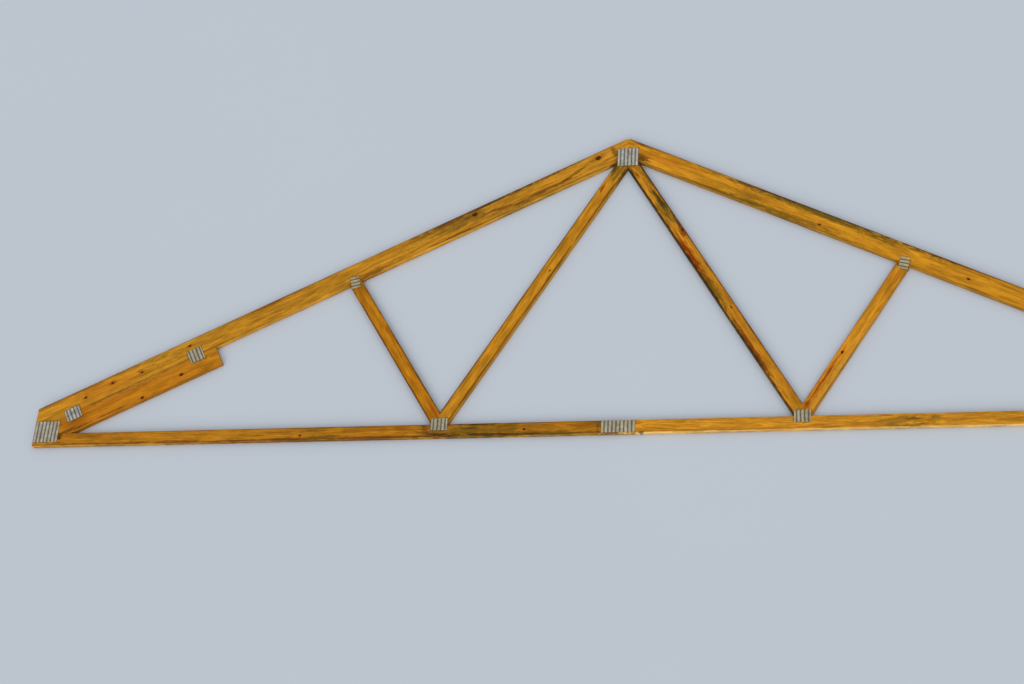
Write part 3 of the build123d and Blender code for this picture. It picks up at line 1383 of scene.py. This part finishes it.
def top_chord_finishes() -> dict[Side, SoftwoodFinish]:
    """Top chords: dark blotches towards the peak, resin stains towards the eaves.

    Returns:
        The finish on each side.
    """
    return {
        Side.LEFT: SoftwoodFinish(
            4.1, tone(184, 128, 40), tone(224, 164, 58), soil_reach=0.014, pith_across=-0.02,
            pith_below=0.045,
            knots=(
                Knot(0.22, 0.024, 0.014), Knot(1.16, 0.026, 0.013), Knot(3.297, 0.025, 0.008),
                Knot(3.66, -0.008, 0.006), Knot(3.87, 0.012, 0.007), Knot(4.072, -0.004, 0.007)),
            stains=(
                Stain(UMBER, 1.04, 0.064, 0.7, 0.013, 0.85), Stain(BLACK, 0.88, 0.056, 0.34, 0.013, 0.65),
                Stain(UMBER, 0.43, -0.015, 0.14, 0.013, 0.65, lean=-0.2),
                Stain(UMBER, 0.66, -0.034, 0.24, 0.014, 0.72),
                Stain(UMBER, 0.96, -0.02, 0.22, 0.014, 0.7, lean=0.16),
                Stain(OLIVE, 1.3, 0.014, 0.24, 0.045, 0.6), Stain(UMBER, 1.36, 0.044, 0.18, 0.018, 0.55),
                Stain(UMBER, 1.38, -0.06, 0.26, 0.01, 0.75), Stain(OLIVE, 0.6, -0.058, 0.26, 0.014, 0.5),
                Stain(UMBER, 0.15, -0.07, 0.04, 0.006, 0.8), Stain(ORANGE, 0.12, 0.064, 0.07, 0.01, 0.6),
                Stain(BLACK, 0.105, -0.045, 0.035, 0.04, 0.65),
                # The umber patch at 1.95, low on the chord, is a painted shadow of a brace.
                Stain(UMBER, 1.95, -0.054, 0.26, 0.028, 0.6), Stain(UMBER, 2.65, 0.062, 0.22, 0.012, 0.8),
                Stain(BLACK, 0.1, 0.0, 0.02, 0.06, 0.6), Stain(ORANGE, 3.95, 0.02, 0.34, 0.09, 0.42),
                Stain(UMBER, 3.672, 0.006, 0.026, 0.024, 0.45),
                Stain(UMBER, 3.868, 0.014, 0.026, 0.02, 0.45), Stain(UMBER, 4.07, 0.0, 0.026, 0.02, 0.45),
                Stain(UMBER, 4.05, 0.056, 0.5, 0.014, 0.45))),
        Side.RIGHT: SoftwoodFinish(
            5.7, tone(190, 130, 34), tone(174, 126, 46), mildew=0.22, soil_reach=0.015, streaks=0.24,
            pith_across=0.03, pith_below=0.05,
            knots=(Knot(2.521, -0.012, 0.008), Knot(1.47, -0.03, 0.007), Knot(3.4, 0.02, 0.01)),
            stains=(
                Stain(BLACK, 0.13, -0.036, 0.065, 0.045, 0.85), Stain(ORANGE, 0.3, 0.0, 0.2, 0.05, 0.5),
                Stain(UMBER, 0.1, 0.06, 0.08, 0.013, 0.7), Stain(OLIVE, 1.42, 0.055, 0.95, 0.028, 0.9),
                Stain(BLACK, 1.45, 0.064, 0.9, 0.009, 0.6), Stain(OLIVE, 0.95, 0.0, 0.16, 0.06, 0.42),
                Stain(UMBER, 0.94, 0.058, 0.12, 0.016, 0.6), Stain(OLIVE, 1.22, -0.052, 0.5, 0.024, 0.75),
                Stain(OLIVE, 0.75, -0.062, 0.45, 0.01, 0.6), Stain(OLIVE, 1.92, 0.036, 0.2, 0.026, 0.65),
                Stain(UMBER, 2.45, 0.063, 0.5, 0.008, 0.6))),
    }


def slider_finishes() -> dict[Side, SoftwoodFinish]:
    """Sliders: clean wood with a darker lower edge, and dark where they meet the eaves.

    Returns:
        The finish on each side.
    """
    return {
        Side.LEFT: SoftwoodFinish(
            6.4, tone(175, 113, 25), tone(170, 112, 30), mildew=0.0, soil_reach=0.004, streaks=0.06,
            pith_across=0.01,
            knots=(Knot(3.35, -0.018, 0.01), Knot(3.648, -0.055, 0.009)),
            stains=(
                Stain(UMBER, 3.25, -0.024, 0.17, 0.006, 0.55),
                Stain(ORANGE, 3.75, -0.042, 0.5, 0.016, 0.45), Stain(ORANGE, 3.7, 0.04, 0.46, 0.034, 0.5),
                Stain(UMBER, 3.95, -0.056, 0.34, 0.008, 0.75), Stain(UMBER, 4.18, -0.046, 0.1, 0.014, 0.92),
                Stain(GOLD, 3.66, 0.054, 0.42, 0.018, 0.3), Stain(UMBER, 3.38, 0.062, 0.11, 0.012, 0.25),
                Stain(UMBER, 3.98, 0.06, 0.13, 0.01, 0.25), Stain(RED, 4.12, -0.008, 0.09, 0.04, 0.4))),
        Side.RIGHT: SoftwoodFinish(
            7.2, tone(182, 120, 32), tone(180, 124, 44), mildew=0.15, streaks=0.2, pith_across=-0.03,
            knots=(Knot(3.62, 0.02, 0.01), Knot(4.02, -0.03, 0.007)),
            stains=(
                Stain(UMBER, 4.1, -0.05, 0.16, 0.014, 0.6), Stain(UMBER, 3.5, 0.06, 0.3, 0.01, 0.5))),
    }


def long_web_finishes() -> dict[Side, SoftwoodFinish]:
    """Long webs: dark arrises, partly soil and partly painted shade, red bark seams, and blackened ends
    under the plates.

    Returns:
        The finish on each side.
    """
    return {
        Side.LEFT: SoftwoodFinish(
            8.8, tone(187, 128, 36), tone(196, 142, 44), mildew=0.12, soil_reach=0.019, streaks=0.2,
            pith_across=-0.02, pith_below=0.05,
            knots=(Knot(1.31, 0.012, 0.005),),
            stains=(
                Stain(RED, 2.029, -0.024, 0.05, 0.018, 0.92), Stain(UMBER, 1.2, 0.036, 2.8, 0.006, 0.62),
                Stain(UMBER, 1.2, -0.042, 2.8, 0.006, 0.65), Stain(OLIVE, 2.2, 0.006, 0.12, 0.05, 0.75),
                Stain(BLACK, 2.22, -0.036, 0.08, 0.018, 0.75), Stain(BLACK, 2.2, 0.038, 0.1, 0.014, 0.7))),
        # The dark edge colour here is partly soil and partly painted shade.
        Side.RIGHT: SoftwoodFinish(
            9.5, tone(184, 123, 34), tone(104, 72, 22), mildew=0.3, soil_reach=0.02, streaks=0.24,
            pith_across=0.02, pith_below=0.05,
            knots=(Knot(1.61, -0.03, 0.007), Knot(0.92, -0.01, 0.005)),
            stains=(
                Stain(UMBER, 0.64, 0.027, 0.42, 0.019, 0.88), Stain(RED, 0.58, 0.018, 0.26, 0.01, 0.7),
                Stain(OLIVE, 1.1, 0.026, 0.3, 0.024, 0.85), Stain(RED, 1.4, 0.017, 0.22, 0.021, 0.96),
                Stain(BLACK, 1.2, 0.04, 2.6, 0.01, 0.9), Stain(RED, 1.605, -0.026, 0.075, 0.02, 0.92),
                Stain(OLIVE, 1.86, -0.014, 0.25, 0.031, 0.84), Stain(OLIVE, 1.82, 0.012, 0.13, 0.024, 0.6),
                Stain(BLACK, 1.9, -0.016, 0.12, 0.015, 0.65), Stain(BLACK, 1.73, -0.031, 0.08, 0.01, 0.55),
                Stain(RED, 1.5, 0.02, 0.05, 0.022, 0.85), Stain(UMBER, 1.35, -0.041, 2.6, 0.007, 0.75),
                Stain(OLIVE, 2.12, -0.03, 0.16, 0.02, 0.7), Stain(BLACK, 2.21, 0.03, 0.12, 0.03, 0.8),
                Stain(BLACK, 2.23, -0.038, 0.08, 0.014, 0.7))),
    }


def short_web_finishes() -> dict[Side, SoftwoodFinish]:
    """Short webs: clean wood with reddish streaks near the foot.

    Returns:
        The finish on each side.
    """
    return {
        Side.LEFT: SoftwoodFinish(
            10.6, tone(175, 113, 21), tone(160, 104, 24), mildew=0.08, soil_reach=0.016, streaks=0.16,
            pith_across=0.01, pith_below=0.07,
            stains=(
                Stain(RED, 0.105, 0.012, 0.055, 0.022, 0.5), Stain(UMBER, 0.4, 0.041, 0.9, 0.01, 0.7),
                Stain(UMBER, 0.55, -0.041, 1.2, 0.008, 0.7), Stain(UMBER, 1.2, 0.02, 0.12, 0.04, 0.45))),
        Side.RIGHT: SoftwoodFinish(
            11.9, tone(191, 128, 36), tone(200, 142, 56), mildew=0.1, soil_reach=0.012, streaks=0.18,
            pith_across=-0.015, pith_below=0.05,
            knots=(Knot(0.512, 0.014, 0.008), Knot(1.251, 0.03, 0.006)),
            stains=(
                Stain(GOLD, 0.45, -0.026, 0.6, 0.02, 0.5), Stain(ORANGE, 0.3, 0.018, 0.36, 0.024, 0.6),
                Stain(RED, 0.25, 0.02, 0.32, 0.011, 0.8), Stain(RED, 0.085, 0.018, 0.045, 0.026, 0.8),
                Stain(ORANGE, 1.15, 0.0, 0.08, 0.03, 0.35))),
    }


def sticks(plates: dict[str, ConnectorPlate]) -> list[Timber]:
    """The five sticks of one half, each with its finish on both sides.

    Args:
        plates: The connector plates by their short names.

    Returns:
        The sticks.
    """
    p = PLAN
    narrow, deep = p.narrow, p.plumb_deep
    foot = (p.bottom_joint, narrow)
    head = (p.top_joint, p.seam_line(p.top_joint))
    apex = (0.0, p.seam_line(0.0))
    slider_tip = (p.slider_end, p.seam_line(p.slider_end))
    sin_down, cos_down = p.roof_slope / p.slant, 1.0 / p.slant
    at_middle, at_eaves = SawCut((0.0, 0.0), (-1.0, 0.0)), SawCut((p.half, 0.0), (1.0, 0.0))
    at_peak = SawCut((0.0, p.rise), (0.0, 1.0))
    on_chord = SawCut((0.0, narrow), (0.0, -1.0))
    under_roof = SawCut(apex, (sin_down, cos_down))

    def pressed(*names: str) -> tuple[ConnectorPlate, ...]:
        """The plates of these short names."""
        return tuple(plates[name] for name in names)

    return [
        Timber("bottom_chord", "bottom_chord_wood", (0.0, narrow / 2), (p.half, narrow / 2), narrow,
               (at_middle, at_eaves), pressed("splice", "web_foot", "heel"),
               bottom_chord_finishes()),
        Timber("top_chord", "top_chord_wood", (0.0, p.peak_sharp - deep / 2),
               (p.half, p.heel_height - deep / 2), p.deep, (at_middle, at_eaves, at_peak),
               pressed("peak", "web_head", "slider_tip", "slider_heel", "heel"),
               top_chord_finishes()),
        Timber("slider", "slider_wood", (0.0, apex[1] - deep / 2),
               (p.half, p.seam_line(p.half) - deep / 2), p.deep,
               (at_eaves, on_chord, SawCut(slider_tip, (-cos_down, sin_down))),
               pressed("slider_tip", "slider_heel", "heel"), slider_finishes()),
        Timber("long_web", "web_wood", foot, apex, narrow,
               (SawCut(foot, (1.0, 0.0)), at_middle, on_chord, under_roof),
               pressed("peak", "web_foot"), long_web_finishes()),
        Timber("short_web", "web_wood", foot, head, narrow,
               (SawCut(foot, (-1.0, 0.0)), on_chord, under_roof),
               pressed("web_foot", "web_head"), short_web_finishes()),
    ]


def main() -> None:
    """Build the truss stick by stick and plate by plate, then the studio round it."""
    logging.basicConfig(level=logging.INFO, format="%(name)s: %(message)s")
    for build_group in (build_grain_group, build_knot_group, build_ragged_group,
                        build_stain_group, build_mildew_group, build_sawn_group, build_print_group,
                        build_galvanising_group):
        build_group()
    plates = plate_kinds()
    for timber in sticks(plates):
        for side in Side:
            timber.build(side)
    for number, plate in enumerate(plates.values()):
        plate.build(seed=1.0 + number)
    Studio().build()


if __name__ == "__main__":
    main()
